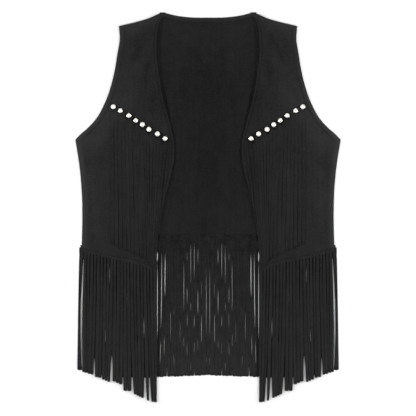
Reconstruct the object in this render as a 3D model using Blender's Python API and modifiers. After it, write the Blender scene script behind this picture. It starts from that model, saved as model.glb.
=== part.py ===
"""Fringed western vest of black suede cloth, laid flat: the back panel lies on the floor, the two fronts
lie on it, and slit fringe hangs from the hem and from the stud rows on the chest.

+Z is up, +Y points to the neck and +X runs across the vest, to the wearer's left. A place on the vest is
given as half, its distance from the centre line, and down, its distance below the neck points.
"""

import math
from collections import namedtuple

import bmesh
import bpy
import numpy as np
from mathutils import Vector

# Driving sizes, in metres
LENGTH = 0.663  # from the neck points to the lowest tip of the front fringe
CLOTH = 0.0012  # wall of the three panels
STRIP_CLOTH = 0.0010  # wall of the slit strips and their strands
SEAM_GAP = 0.0003  # between two pieces that are sewn, riveted or laid together
SLOPING_GAP = 0.0004  # the same gap measured down, where a seam slopes

# Panel outlines: each table is one cut edge, and half and down are its columns
Point = namedtuple("Point", "half down")

BACK_NECK = [
    Point(0.0000, 0.0090),
    Point(0.0300, 0.0084),
    Point(0.0570, 0.0049),
    Point(0.0757, 0.0000),
]
SHOULDER = [
    Point(0.0757, 0.0000),
    Point(0.0860, 0.0036),
    Point(0.1000, 0.0098),
    Point(0.1183, 0.0155),
    Point(0.1515, 0.0234),
]
ARMHOLE = [
    Point(0.1515, 0.0234),
    Point(0.1499, 0.0420),
    Point(0.1540, 0.0714),
    Point(0.1615, 0.1122),
    Point(0.1749, 0.1530),
    Point(0.1897, 0.1802),
    Point(0.2050, 0.1971),
    Point(0.2166, 0.2071),
    Point(0.2254, 0.2164),
]
SIDE_SEAM = [
    Point(0.2254, 0.2164),
    Point(0.2183, 0.2618),
    Point(0.2147, 0.3026),
    Point(0.2135, 0.3500),
    Point(0.2147, 0.3995),
]
FRONT_NECK_EDGE = [
    Point(0.0757, 0.0000),
    Point(0.0838, 0.0204),
    Point(0.0873, 0.0500),
    Point(0.0865, 0.0816),
    Point(0.0816, 0.1156),
    Point(0.0758, 0.1496),
    Point(0.0663, 0.1836),
    Point(0.0577, 0.2230),
    Point(0.0571, 0.2346),
]
FRONT_LOWER_EDGE = [
    Point(0.0571, 0.2346),
    Point(0.0577, 0.2482),
    Point(0.0614, 0.2686),
    Point(0.0741, 0.3196),
    Point(0.0831, 0.3706),
    Point(0.0877, 0.4352),
]
FRONT_HEM = [
    Point(0.0877, 0.4352),
    Point(0.1047, 0.4267),
    Point(0.1600, 0.4130),
    Point(0.2147, 0.3995),
]
BACK_HEM = [
    Point(0.0000, 0.3774),
    Point(0.0850, 0.3778),
    Point(0.1600, 0.3880),
    Point(0.2147, 0.3995),
]
CENTRE_TOP = 0.0090  # the back neck, down the centre line
CENTRE_UNDERARM = 0.2250  # level with the underarm corners
CENTRE_HEM = 0.3774

# Panel grids
PANEL_ROWS = 26
UNDERARM = 0.5  # share of the rows that lie above the underarm corner
FRONT_COLUMNS = 10
BACK_COLUMNS = 9  # of each half
NECK_COLUMNS = 3  # those of them along the neck

# How the fronts lie: nearly touching the back along the seams, a little clear of it elsewhere
FRONT_LOFT = 0.0026
LOFT_RUN = 0.045  # the loft grows over this distance from the side seam, armhole and shoulder
EDGE_LOFT = 0.0016  # what the free front edge adds
EDGE_RUN = 0.030
LEAST_LOFT = 0.0004

# Soft folds of a front: run and across are each fold's reach along its line and square to it, turn is
# degrees from straight down, outwards, and height is below zero for a trough
Fold = namedtuple("Fold", "half down run across turn height")
FRONT_FOLDS = [
    Fold(0.118, 0.060, 0.026, 0.0090, 24, -0.0016),
    Fold(0.106, 0.109, 0.030, 0.0085, 18, -0.0014),
    Fold(0.110, 0.086, 0.026, 0.0080, 50, 0.0011),
    Fold(0.134, 0.100, 0.034, 0.0130, 12, 0.0012),
    Fold(0.080, 0.160, 0.022, 0.0120, -10, -0.0012),
    Fold(0.197, 0.228, 0.020, 0.0090, 80, 0.0011),
    Fold(0.193, 0.256, 0.022, 0.0100, 65, -0.0010),
    Fold(0.192, 0.322, 0.040, 0.0110, 4, 0.0010),
]

# Hem fringe
BACK_STRANDS = 75
FRONT_STRANDS = 23
BACK_STRIP_DEPTH = 0.0136
FRONT_STRIP_DEPTH = 0.0060
BACK_OVERHANG = (0.0020, 0.0005)  # of a strip past the side seam, out and down along its hem
FRONT_OVERHANG = (0.0020, -0.0004)
HEM_STRAND_ROWS = 4
BACK_TIPS = [  # from the middle to the outermost strand
    Point(0.0000, 0.6170),
    Point(0.0765, 0.6200),
    Point(0.1700, 0.6180),
    Point(0.2090, 0.6110),
    Point(0.2196, 0.6030),
]
FRONT_TIPS = [  # from the front edge's strand to the outermost
    Point(0.0876, LENGTH),
    Point(0.0985, 0.6600),
    Point(0.1182, 0.6548),
    Point(0.1386, 0.6434),
    Point(0.1692, 0.6288),
    Point(0.1998, 0.6160),
    Point(0.2196, 0.6030),
]
BACK_FRINGE_CLEAR = 0.0004  # over the floor
FRONT_FRINGE_CLEAR = 0.0026  # over the floor, where the front strands lie on the back ones
SETTLE_RUN = 0.08  # share of a front strand over which it comes down from the hem

# Chest fringe: its strip carries the studs, and its lower edge hangs in strands
STUDS = 8
STUD_LINE = [Point(0.1607, 0.1613), Point(0.0726, 0.2149)]  # first and last stud, from the armhole
CHEST_STRIP = [Point(0.0620, 0.2213), Point(0.1658, 0.1582)]  # the strip's middle line, from the edge
CHEST_STRIP_ABOVE = 0.0055
CHEST_STRIP_BELOW = 0.0065
CHEST_STRANDS = 17
CHEST_STRAND_ROWS = 6
CHEST_TIPS = [  # from the front edge's strand to the outermost
    Point(0.0905, 0.4430),
    Point(0.0975, 0.4290),
    Point(0.1098, 0.4185),
    Point(0.1358, 0.4066),
    Point(0.1615, 0.3945),
]
CHEST_CLEAR = 0.0008  # the strands over the front panel
CHEST_CLEAR_RUN = 0.1  # share of a strand over which it comes clear
STUD_RADIUS = 0.0041
STUD_HEIGHT = 0.0024
STUD_RIM = 0.0004  # straight part of the side, under the dome
STUD_SEAT = 0.0001  # added to the gap, because the strip curves a little under a flat base
STUD_STEPS = 12
DOME_STEPS = 3
SCREW_MERGE = 0.00005

# How strands vary, all in metres
ROOT_SLIT = 0.0005  # between two strands where they leave the strip
TIP_SLIT = 0.0009
SWAY = 0.0008
SWAY_EVERY = 6.7  # strands from one bunch to the next
SWAY_START = 0.6  # radians
FLARE = 0.75  # below 1, strands spread more near their roots than near their tips
STRAND_LIFT = 0.0007
LIFT_TURN = 2.1  # radians from one strand to the next
LIFT_RUN = 0.4  # share of its length over which a strand rises
UNEVEN_TIP = 0.0040
TIP_TURN = 2.4  # radians from one strand to the next

SAMPLES = 200  # points on an edge that is read as a function of half or of down


def smooth_curve(table):
    """The smooth edge through a table's points, as a function of the share of its length, 0 to 1."""
    points = np.array(table, float)
    steps = np.linalg.norm(np.diff(points, axis=0), axis=1)
    at = np.concatenate([[0], np.cumsum(steps)]) / steps.sum()
    slopes = np.gradient(points, at, axis=0)

    def place(share):
        share = min(max(share, 0.0), 1.0)
        i = min(int(np.searchsorted(at, share, side="right")) - 1, len(at) - 2)
        wide = at[i + 1] - at[i]
        t = (share - at[i]) / wide
        start = (2 * t**3 - 3 * t**2 + 1) * points[i] + (t**3 - 2 * t**2 + t) * wide * slopes[i]
        end = (3 * t**2 - 2 * t**3) * points[i + 1] + (t**3 - t**2) * wide * slopes[i + 1]
        return start + end

    return place


def joined(first, second, split):
    """Two edges that meet at a corner, as one function whose corner is at split."""
    return lambda t: first(t / split) if t < split else second((t - split) / (1 - split))


def ease(distance, over):
    """0 at no distance, 1 at over and further, level at both ends."""
    t = min(max(distance / over, 0.0), 1.0)
    return t * t * (3 - 2 * t)


outer_edge = joined(smooth_curve(ARMHOLE), smooth_curve(SIDE_SEAM), UNDERARM)
front_edge = joined(smooth_curve(FRONT_NECK_EDGE), smooth_curve(FRONT_LOWER_EDGE), UNDERARM)
centre_line = joined(
    smooth_curve([Point(0, CENTRE_TOP), Point(0, CENTRE_UNDERARM)]),
    smooth_curve([Point(0, CENTRE_UNDERARM), Point(0, CENTRE_HEM)]),
    UNDERARM,
)
shoulder = smooth_curve(SHOULDER)
back_top = joined(smooth_curve(BACK_NECK), shoulder, NECK_COLUMNS / BACK_COLUMNS)
front_hem = smooth_curve(FRONT_HEM)
back_hem = smooth_curve(BACK_HEM)

OUTER_SAMPLES = np.array([outer_edge(t) for t in np.linspace(0, 1, SAMPLES)])
FREE_SAMPLES = np.array([front_edge(t) for t in np.linspace(0, 1, SAMPLES)])
SHOULDER_SAMPLES = np.array([shoulder(t) for t in np.linspace(0, 1, SAMPLES)])


def patch(top, bottom, inner, outer):
    """The piece of cloth between four edges: place(u, v) runs from inner to outer and from top to bottom."""

    def place(u, v):
        across = (1 - u) * inner(v) + u * outer(v)
        along = (1 - v) * top(u) + v * bottom(u)
        ends = (1 - v) * ((1 - u) * top(0) + u * top(1)) + v * ((1 - u) * bottom(0) + u * bottom(1))
        return across + along - ends

    return place


def fold_height(half, down):
    """What a front's soft folds add at a place."""
    total = 0.0
    for fold in FRONT_FOLDS:
        turn = math.radians(fold.turn)
        x, y = half - fold.half, down - fold.down
        along = x * math.sin(turn) + y * math.cos(turn)
        aside = x * math.cos(turn) - y * math.sin(turn)
        total += fold.height * math.exp(-((along / fold.run) ** 2) - (aside / fold.across) ** 2)
    return total


def front_under(half, down):
    """Height of a front's underside, which also carries the front hem's strip."""
    from_side = np.interp(down, OUTER_SAMPLES[:, 1], OUTER_SAMPLES[:, 0]) - half
    from_shoulder = down - np.interp(half, SHOULDER_SAMPLES[:, 0], SHOULDER_SAMPLES[:, 1])
    from_edge = half - np.interp(down, FREE_SAMPLES[:, 1], FREE_SAMPLES[:, 0])
    seams = ease(from_side, LOFT_RUN) * ease(from_shoulder, LOFT_RUN)
    loft = FRONT_LOFT + fold_height(half, down) + EDGE_LOFT * (1 - ease(from_edge, EDGE_RUN))
    return CLOTH + SEAM_GAP + seams * max(loft, LEAST_LOFT)


def on_vest(x, down, z):
    """A place on the vest in the frame, whose origin is the middle of its length."""
    return Vector((x, LENGTH / 2 - down, z))


def finish(name, colour, roughness, metallic):
    """A plain Principled material."""
    material = bpy.data.materials.new(name)
    material.use_nodes = True
    shader = material.node_tree.nodes["Principled BSDF"]
    shader.inputs["Base Color"].default_value = (*colour, 1)
    shader.inputs["Roughness"].default_value = roughness
    shader.inputs["Metallic"].default_value = metallic
    return material


def place_in_vest(obj):
    obj.parent = vest
    collection.objects.link(obj)
    return obj


def piece(name, bm, material):
    """The named object of one piece, from its mesh."""
    mesh = bpy.data.meshes.new(name)
    bm.to_mesh(mesh)
    bm.free()
    mesh.materials.append(material)
    return place_in_vest(bpy.data.objects.new(name, mesh))


def wall(obj, thickness):
    """Makes a sheet a wall whose underside is the sheet."""
    solidify = obj.modifiers.new("wall", "SOLIDIFY")
    solidify.thickness = thickness
    solidify.offset = 1


def panel(columns, place, height, side):
    """A panel as a grid that is laid out between its cut edges, on one side of the centre line."""
    bm = bmesh.new()
    bmesh.ops.create_grid(bm, x_segments=columns, y_segments=PANEL_ROWS, size=0.5)
    for v in bm.verts:
        half, down = place(v.co.x + 0.5, 0.5 - v.co.y)
        v.co = on_vest(side * half, down, height(half, down))
    if side < 0:
        bmesh.ops.reverse_faces(bm, faces=bm.faces)
    return bm


def slit_strip(count, rows):
    """A strip with its strands, flat and counted: x is twice a strand's number plus its side, y the row."""
    bm = bmesh.new()
    columns = 2 * count - 1
    bmesh.ops.create_grid(bm, x_segments=columns, y_segments=1, size=0.5)
    for v in bm.verts:
        v.co = (round((v.co.x + 0.5) * columns), round(v.co.y - 0.5), 0)
    lower = []
    for edge in bm.edges:
        left, right = sorted(edge.verts, key=lambda v: v.co.x)
        if left.co.y == right.co.y == -1 and left.co.x % 2 == 0:
            lower.append(edge)
    for _ in range(rows):
        grown = bmesh.ops.extrude_edge_only(bm, edges=lower)["geom"]
        new = {g for g in grown if isinstance(g, bmesh.types.BMVert)}
        lower = [g for g in grown if isinstance(g, bmesh.types.BMEdge) and set(g.verts) <= new]
        bmesh.ops.translate(bm, verts=list(new), vec=(0, -1, 0))
    return bm


def sway(number, share):
    """How far aside a strand hangs at a share of its length, so that strands bunch a little."""
    return SWAY * math.sin(2 * math.pi * number / SWAY_EVERY + SWAY_START) * share**1.5


def strand_lift(number, share):
    """How far a strand rises from what it lies on."""
    return STRAND_LIFT * (0.5 + 0.5 * math.sin(LIFT_TURN * number)) * ease(share, LIFT_RUN)


class Fringe(namedtuple("Fringe", "count rows top depth tips height side number_of")):
    """A slit strip and its strands.

    top gives the strip's upper edge over a share of its width, and tips the strands' ends from the first
    strand to the last, both as x and down. height gives the underside's height at x, down and a share of
    the strand's length. number_of counts the strands from the centre line, so that both halves of the
    vest hang alike.
    """

    def root(self, strand, edge):
        """The strip's upper edge above a strand's near side (-1), middle (0) or far side (1)."""
        middle = (strand + 0.5) / self.count
        if edge == 0:
            return self.top(middle)
        half_pitch = 0.5 / self.count
        pitch = np.linalg.norm(self.top(middle + half_pitch) - self.top(middle - half_pitch))
        return self.top(middle + edge * half_pitch * (1 - ROOT_SLIT / pitch))

    def tip_width(self, strand):
        last = self.count - 1
        before = max(strand - 1, 0)
        return abs(self.tips((before + 1) / last)[0] - self.tips(before / last)[0]) - TIP_SLIT

    def on_strand(self, strand, edge, share):
        """A point on a strand's edge, as x and down, at a share of the strand's length."""
        number = self.number_of(strand)
        root_x, root_down = self.root(strand, edge)
        middle_x = self.root(strand, 0)[0]
        tip_x, tip_down = self.tips(strand / (self.count - 1))
        tip_down -= UNEVEN_TIP * (0.5 - 0.5 * math.cos(TIP_TURN * number))
        spread = share**FLARE
        width = (1 - share) * abs(root_x - middle_x) + share * self.tip_width(strand) / 2
        outwards = math.copysign(1, middle_x)
        x = (1 - spread) * middle_x + spread * tip_x + outwards * sway(number, share)
        down = (1 - share) * (root_down + self.depth) + share * tip_down
        return x + width * self.side * edge, down

    def mesh(self):
        bm = slit_strip(self.count, self.rows)
        for v in bm.verts:
            strand, right = divmod(round(v.co.x), 2)
            edge = 1 if right else -1
            row = round(-v.co.y)
            if row < 2:
                x, down = self.root(strand, edge) + (0, row * self.depth)
                z = self.height(x, down, 0)
            else:
                share = (row - 1) / self.rows
                x, down = self.on_strand(strand, edge, share)
                z = self.height(x, down, share) + strand_lift(self.number_of(strand), share)
            v.co = on_vest(x, down, z)
        if self.side < 0:
            bmesh.ops.reverse_faces(bm, faces=bm.faces)
        return bm


def moved(edge, drop, overhang=(0.0, 0.0)):
    """An edge moved down, and at its far end further out and down."""
    return lambda share: edge(share) + (0, drop) + share * np.array(overhang)


def on_side(edge, side):
    """An edge of the vest's +X half, on one side of the centre line."""
    return lambda share: edge(share) * (side, 1)


def across_vest(edge):
    """An edge of one half carried on over both: share 0 is its far end on -X, and 1 that on +X."""
    return lambda share: on_side(edge, -1)(1 - 2 * share) if share < 0.5 else edge(2 * share - 1)


def back_fringe_height(x, down, share):
    """The back strands lie just above the floor."""
    return BACK_FRINGE_CLEAR


def front_fringe_height(x, down, share):
    """The front strands come down from the hem onto the back ones."""
    settled = ease(share, SETTLE_RUN)
    return (1 - settled) * front_under(abs(x), down) + settled * FRONT_FRINGE_CLEAR


def chest_fringe_height(x, down, share):
    """The chest strip lies on the front panel, and its strands hang a little clear of it."""
    clear = SEAM_GAP + (CHEST_CLEAR - SEAM_GAP) * ease(share, CHEST_CLEAR_RUN)
    return front_under(abs(x), down) + CLOTH + clear


def stud_profile():
    """A domed stud's outline, from its top down its outer side and back to the middle of its base."""
    bm = bmesh.new()
    turns = [math.pi / 2 * i / DOME_STEPS for i in range(DOME_STEPS + 1)]
    dome = STUD_HEIGHT - STUD_RIM
    outline = [(STUD_RADIUS * math.sin(a), STUD_RIM + dome * math.cos(a)) for a in turns]
    outline += [(STUD_RADIUS, 0), (0, 0)]
    points = [bm.verts.new((x, 0, z)) for x, z in outline]
    for upper, lower in zip(points, points[1:]):
        bm.edges.new((upper, lower))
    mesh = bpy.data.meshes.new("stud_profile")
    bm.to_mesh(mesh)
    bm.free()
    mesh.materials.append(STUD_METAL)
    return mesh


def stud(name, mesh, half, down, side):
    """A stud that sits on the chest strip, square to it."""
    reach = STUD_RADIUS
    strip_top = front_under(half, down) + CLOTH + SEAM_GAP + STRIP_CLOTH
    slope_x = (front_under(half + reach, down) - front_under(half - reach, down)) / (2 * reach)
    slope_y = (front_under(half, down - reach) - front_under(half, down + reach)) / (2 * reach)
    normal = Vector((-side * slope_x, -slope_y, 1)).normalized()
    obj = place_in_vest(bpy.data.objects.new(name, mesh))
    obj.location = on_vest(side * half, down, strip_top) + normal * (SEAM_GAP + STUD_SEAT)
    obj.rotation_euler = normal.to_track_quat("Z", "Y").to_euler()
    screw = obj.modifiers.new("turn", "SCREW")
    screw.steps = screw.render_steps = STUD_STEPS
    screw.use_merge_vertices = True
    screw.merge_threshold = SCREW_MERGE


for leftover in list(bpy.data.objects):
    bpy.data.objects.remove(leftover, do_unlink=True)
collection = bpy.data.collections.new("fringed_vest")
bpy.context.scene.collection.children.link(collection)
vest = bpy.data.objects.new("vest", None)
collection.objects.link(vest)
SUEDE = finish("black_suede_cloth", (0.022, 0.022, 0.022), 0.95, 0.0)
SLIT_SUEDE = finish("slit_suede_fringe", (0.022, 0.022, 0.022), 0.95, 0.0)
STUD_METAL = finish("nickel_plated_studs", (0.80, 0.80, 0.80), 0.15, 1.0)
SIDES = {"left": 1, "right": -1}

# Back panel: one half on its grid, mirrored at the centre line
back_place = patch(back_top, back_hem, centre_line, outer_edge)
back = piece("back_panel", panel(BACK_COLUMNS, back_place, lambda half, down: 0.0, 1), SUEDE)
mirror = back.modifiers.new("other_half", "MIRROR")
mirror.merge_threshold = 0.0001
wall(back, CLOTH)

# Front panels
front_place = patch(shoulder, front_hem, front_edge, outer_edge)
for name, side in SIDES.items():
    front = piece(f"front_panel_{name}", panel(FRONT_COLUMNS, front_place, front_under, side), SUEDE)
    wall(front, CLOTH)

# Hem fringe: one strip across the back and one along each front
back_fringe = Fringe(
    count=BACK_STRANDS,
    rows=HEM_STRAND_ROWS,
    top=across_vest(moved(back_hem, SLOPING_GAP, BACK_OVERHANG)),
    depth=BACK_STRIP_DEPTH,
    tips=across_vest(smooth_curve(BACK_TIPS)),
    height=back_fringe_height,
    side=1,
    number_of=lambda strand: abs(strand - (BACK_STRANDS - 1) / 2),
)
wall(piece("back_hem_fringe", back_fringe.mesh(), SLIT_SUEDE), STRIP_CLOTH)
for name, side in SIDES.items():
    front_fringe = Fringe(
        count=FRONT_STRANDS,
        rows=HEM_STRAND_ROWS,
        top=on_side(moved(front_hem, SLOPING_GAP, FRONT_OVERHANG), side),
        depth=FRONT_STRIP_DEPTH,
        tips=on_side(smooth_curve(FRONT_TIPS), side),
        height=front_fringe_height,
        side=side,
        number_of=lambda strand: strand,
    )
    wall(piece(f"front_hem_fringe_{name}", front_fringe.mesh(), SLIT_SUEDE), STRIP_CLOTH)

# Chest fringe, and the studs on its strip
stud_line = smooth_curve(STUD_LINE)
stud_outline = stud_profile()
for name, side in SIDES.items():
    chest_fringe = Fringe(
        count=CHEST_STRANDS,
        rows=CHEST_STRAND_ROWS,
        top=on_side(moved(smooth_curve(CHEST_STRIP), -CHEST_STRIP_ABOVE), side),
        depth=CHEST_STRIP_ABOVE + CHEST_STRIP_BELOW,
        tips=on_side(smooth_curve(CHEST_TIPS), side),
        height=chest_fringe_height,
        side=side,
        number_of=lambda strand: strand,
    )
    wall(piece(f"chest_fringe_{name}", chest_fringe.mesh(), SLIT_SUEDE), STRIP_CLOTH)
    for number in range(STUDS):
        half, down = stud_line(number / (STUDS - 1))
        stud(f"stud_{name}_{number + 1}", stud_outline, half, down, side)
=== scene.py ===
"""Looks of a black suede western vest that is laid flat: its cloth, seams, slit fringe and studs.

Metres, as in the frame: +Z is up, +Y points to the neck and +X runs to the wearer's left. A place on the
vest is half, its distance from the centre line, and down, its distance below the neck points.
"""

import math
import random
from bisect import bisect_right
from collections import namedtuple

import bmesh
import bpy
import numpy as np
from mathutils import Matrix, Vector


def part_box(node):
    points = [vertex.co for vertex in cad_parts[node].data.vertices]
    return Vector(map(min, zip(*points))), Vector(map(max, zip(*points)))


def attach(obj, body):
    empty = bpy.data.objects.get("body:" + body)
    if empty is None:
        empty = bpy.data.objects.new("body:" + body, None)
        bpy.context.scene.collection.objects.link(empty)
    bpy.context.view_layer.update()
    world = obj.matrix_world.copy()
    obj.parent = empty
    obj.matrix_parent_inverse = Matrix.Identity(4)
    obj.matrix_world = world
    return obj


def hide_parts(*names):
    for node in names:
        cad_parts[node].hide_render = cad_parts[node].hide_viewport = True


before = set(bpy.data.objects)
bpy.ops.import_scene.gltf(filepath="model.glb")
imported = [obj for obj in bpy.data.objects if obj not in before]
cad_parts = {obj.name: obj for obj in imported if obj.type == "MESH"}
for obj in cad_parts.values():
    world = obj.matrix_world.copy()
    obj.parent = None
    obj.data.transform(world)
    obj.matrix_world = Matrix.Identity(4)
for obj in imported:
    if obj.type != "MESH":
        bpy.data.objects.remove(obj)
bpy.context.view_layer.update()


# The studio. The vest lies on a sheet of white paper, under a soft white ceiling and between two low soft
# boxes, one at each side, which rake the cloth. The camera hangs straight over it, in a darker patch of the
# ceiling that is mirrored as a faint grey spot in the middle of the polished studs.
PAPER_SIDE = 9.0
PAPER_CLEAR = 0.0003  # below the vest, so that two faces never share a plane
PHOTO_WIDTH = 416 * 0.0017  # what the frame spans on the paper
CAMERA_HEIGHT = 3.0
CAMERA_Y = -0.00085
SENSOR = 36.0
SOFT_BOX = (0.14, 1.80)
SOFT_BOX_PLACE = (0.80, -0.04, 0.52)
SOFT_BOX_AIM = (0.12, 0.0, 0.0)
SOFT_BOX_WATTS = 9.2
TOP_BOX = (1.4, 0.5)  # past the neck, low and weak
TOP_BOX_PLACE = (0.0, 1.10, 0.75)
TOP_BOX_WATTS = 3.0
CEILING_LIGHT = 0.43  # on the cloth and the paper
CEILING_IN_STUDS = 1.05  # as bright as the paper
CEILING_PATCH = (0.70, 0.82)  # height of the directions where the darker patch starts and is full


def linear(hex_colour):
    """The linear colour of an sRGB hex value."""
    parts = [int(hex_colour[i : i + 2], 16) / 255 for i in (1, 3, 5)]
    return [p / 12.92 if p <= 0.04045 else ((p + 0.055) / 1.055) ** 2.4 for p in parts] + [1.0]


def add(tree, kind, inputs=None, **settings):
    """Adds a node: settings are its own options, and each input is a value or another node's output."""
    node = tree.nodes.new(kind)
    for name, value in settings.items():
        setattr(node, name, value)
    for name, value in (inputs or {}).items():
        if isinstance(value, bpy.types.NodeSocket):
            tree.links.new(value, node.inputs[name])
        else:
            node.inputs[name].default_value = value
    return node


def new_material(name, **values):
    """A material, its node tree and its Principled shader, whose sockets get the given values."""
    material = bpy.data.materials.new(name)
    material.use_nodes = True
    shader = material.node_tree.nodes["Principled BSDF"]
    for socket, value in values.items():
        shader.inputs[socket.replace("_", " ")].default_value = value
    return material, material.node_tree, shader


def laid_object(name, bm, *materials):
    """The object of a mesh whose place is in its points."""
    mesh = bpy.data.meshes.new(name)
    bm.to_mesh(mesh)
    bm.free()
    for material in materials:
        mesh.materials.append(material)
    obj = bpy.data.objects.new(name, mesh)
    bpy.context.scene.collection.objects.link(obj)
    return obj


# matt white background paper: even, with a very faint tooth. Its real grain of 0.1 mm wouldn't show, so it
# is drawn 1.7 mm wide
paper, paper_tree, paper_shader = new_material("white_background_paper", Roughness=0.95)
tooth = add(paper_tree, "ShaderNodeTexNoise", {"Scale": 1 / 0.0017, "Detail": 2.0})
tint = add(
    paper_tree,
    "ShaderNodeMix",
    {"Factor": tooth.outputs["Fac"], 6: linear("#f2f2f2"), 7: linear("#f8f8f8")},
    data_type="RGBA",
)
paper_tree.links.new(tint.outputs[2], paper_shader.inputs["Base Color"])
paper_sheet = bmesh.new()
bmesh.ops.create_grid(
    paper_sheet,
    x_segments=1,
    y_segments=1,
    size=PAPER_SIDE / 2,
    matrix=Matrix.Translation((0, 0, -PAPER_CLEAR)),
)
laid_object("background_paper", paper_sheet, paper)

world = bpy.data.worlds.new("soft_white_ceiling")
world.use_nodes = True
bpy.context.scene.world = world
sky = world.node_tree
direction = add(sky, "ShaderNodeTexCoord")
height_of = add(sky, "ShaderNodeSeparateXYZ", {"Vector": direction.outputs["Generated"]})
ceiling = add(sky, "ShaderNodeValToRGB", {"Fac": height_of.outputs["Z"]})
for stop, position, grey in zip(ceiling.color_ramp.elements, CEILING_PATCH, ("#ffffff", "#7c7c7c")):
    stop.position = position
    stop.color = linear(grey)
# only reflections see the darker patch
ray = add(sky, "ShaderNodeLightPath")
seen = add(
    sky,
    "ShaderNodeMix",
    {"Factor": ray.outputs["Is Glossy Ray"], 6: linear("#ffffff"), 7: ceiling.outputs["Color"]},
    data_type="RGBA",
)
brightness = {"Value": ray.outputs["Is Glossy Ray"], "To Min": CEILING_LIGHT, "To Max": CEILING_IN_STUDS}
glow = add(sky, "ShaderNodeMapRange", brightness)
sky.links.new(seen.outputs[2], sky.nodes["Background"].inputs["Color"])
sky.links.new(glow.outputs["Result"], sky.nodes["Background"].inputs["Strength"])


def soft_box(name, size, place, aim, watts):
    light = bpy.data.lights.new(name, "AREA")
    light.shape = "RECTANGLE"
    light.size, light.size_y = size
    light.energy = watts
    obj = bpy.data.objects.new(name, light)
    obj.location = place
    obj.rotation_euler = (Vector(aim) - Vector(place)).to_track_quat("-Z", "Y").to_euler()
    bpy.context.scene.collection.objects.link(obj)


for side, sign in (("left", 1), ("right", -1)):
    x, y, z = SOFT_BOX_PLACE
    aim_x, aim_y, aim_z = SOFT_BOX_AIM
    soft_box(f"soft_box_{side}", SOFT_BOX, (sign * x, y, z), (sign * aim_x, aim_y, aim_z), SOFT_BOX_WATTS)
soft_box("soft_box_top", TOP_BOX, TOP_BOX_PLACE, (0, 0, 0), TOP_BOX_WATTS)

camera_data = bpy.data.cameras.new("overhead_camera")
camera_data.sensor_width = SENSOR
camera_data.lens = SENSOR * CAMERA_HEIGHT / PHOTO_WIDTH
camera = bpy.data.objects.new("overhead_camera", camera_data)
camera.location = (0, CAMERA_Y, CAMERA_HEIGHT)
bpy.context.scene.collection.objects.link(camera)
bpy.context.scene.camera = camera
bpy.context.scene.view_settings.view_transform = "Standard"


# The back panel. One piece of black microsuede lies face down on the paper, so its duller inner side looks
# up at the camera between the fronts. The neck edge is turned in and stitched down, and its turning is
# the only strip of napped face that shows. A soft V of creases runs down from the neck.
LENGTH = 0.663
CLOTH = 0.0008
Point = namedtuple("Point", "half down")
EDGE_SAMPLES = np.linspace(0, 1, 200)


def edge_points(*places):
    return [Point(*place) for place in places]


BACK_NECK = edge_points((0.0000, 0.0090), (0.0300, 0.0084), (0.0570, 0.0049), (0.0757, 0.0000))
SHOULDER = edge_points(
    (0.0757, 0.0000), (0.0860, 0.0036), (0.1000, 0.0098), (0.1183, 0.0155), (0.1515, 0.0234),
)
ARMHOLE = edge_points(
    (0.1515, 0.0234), (0.1499, 0.0420), (0.1540, 0.0714), (0.1615, 0.1122), (0.1749, 0.1530),
    (0.1897, 0.1802), (0.2050, 0.1971), (0.2166, 0.2071), (0.2254, 0.2164),
)
SIDE_SEAM = edge_points(
    (0.2254, 0.2164), (0.2183, 0.2618), (0.2147, 0.3026), (0.2135, 0.3500), (0.2147, 0.3995),
)
BACK_HEM = edge_points((0.0000, 0.3774), (0.0850, 0.3778), (0.1600, 0.3880), (0.2147, 0.3995))
CENTRE_TOP = 0.0090
CENTRE_UNDERARM = 0.2250
UNDERARM = 0.5  # share of a panel's rows that lie above the underarm corner
NECK_SHARE = 1 / 3  # of the back's top edge
FOLD_RADIUS = 0.00055  # to the middle of the cloth, where an edge is turned
TURNING = 0.0060  # width of what is turned in
TOPSTITCH = 0.0043  # from the edge to the row of stitches
STITCH_DIP = 0.00030
STITCH_DIP_WIDTH = 0.0010
STITCH_SHADE = 0.30  # how much darker the cloth is drawn along a row of stitches: painted shade in their dip
EVEN_NAP = -0.36  # brings the middle of the three noises to the middle of the two colours
PAINTED_CREASE_SHADE = 150.0  # painted crease shading: how much lighter for each metre that a crease rises
Band = namedtuple("Band", "nap start run")  # how much lighter it looks, from where, and over how far
# painted shade: the back's middle, between the fronts, is drawn darker than its sides, its neck and its hem
BACK_SIDES = Band(0.12, 0.015, 0.045)  # out from the centre line
BACK_UNDER_NECK = Band(0.28, 0.0, 0.120)
BACK_LOW = Band(0.16, 0.290, 0.070)  # towards the hem
BACK_LOW_MIDDLE = 0.4  # part of it that the centre line has
BACK_TURNING = 0.12  # nap of the turned neck edge, whose face shows
BACK_COLUMN_WIDTH = 0.0034
BACK_ROW_HEIGHT = 0.0034
BACK_UNDER_STRIP = 0.0080  # the back reaches this far under the fringe's strip
BACK_BEDDED = CLOTH / 2  # height of the middle of the cloth where it lies on the paper
BACK_ARCH = 0.0010
ARCH_HALF = 0.055
ARCH_RUN = 0.030
# middle of a crease (half and down), its run, its reach to both sides, its turn in degrees, its height
BACK_CREASES = (
    (0.0220, 0.0680, 0.0260, 0.0085, -40, -0.0008),
    (0.0300, 0.0480, 0.0300, 0.0090, -50, 0.0009),
    (0.0060, 0.0300, 0.0400, 0.0080, -85, 0.0006),
    (0.0050, 0.1200, 0.0280, 0.0200, -20, -0.0008),
    (0.0430, 0.1400, 0.0260, 0.0120, 8, -0.0007),
    (0.0340, 0.1900, 0.0340, 0.0110, 14, 0.0005),
    (0.0095, 0.2520, 0.0300, 0.0130, 0, -0.0007),
    (0.0280, 0.2850, 0.0420, 0.0090, 12, 0.0007),
    (0.0480, 0.3200, 0.0300, 0.0100, -8, -0.0005),
    (0.0100, 0.3350, 0.0260, 0.0120, 70, 0.0005),
)


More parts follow.
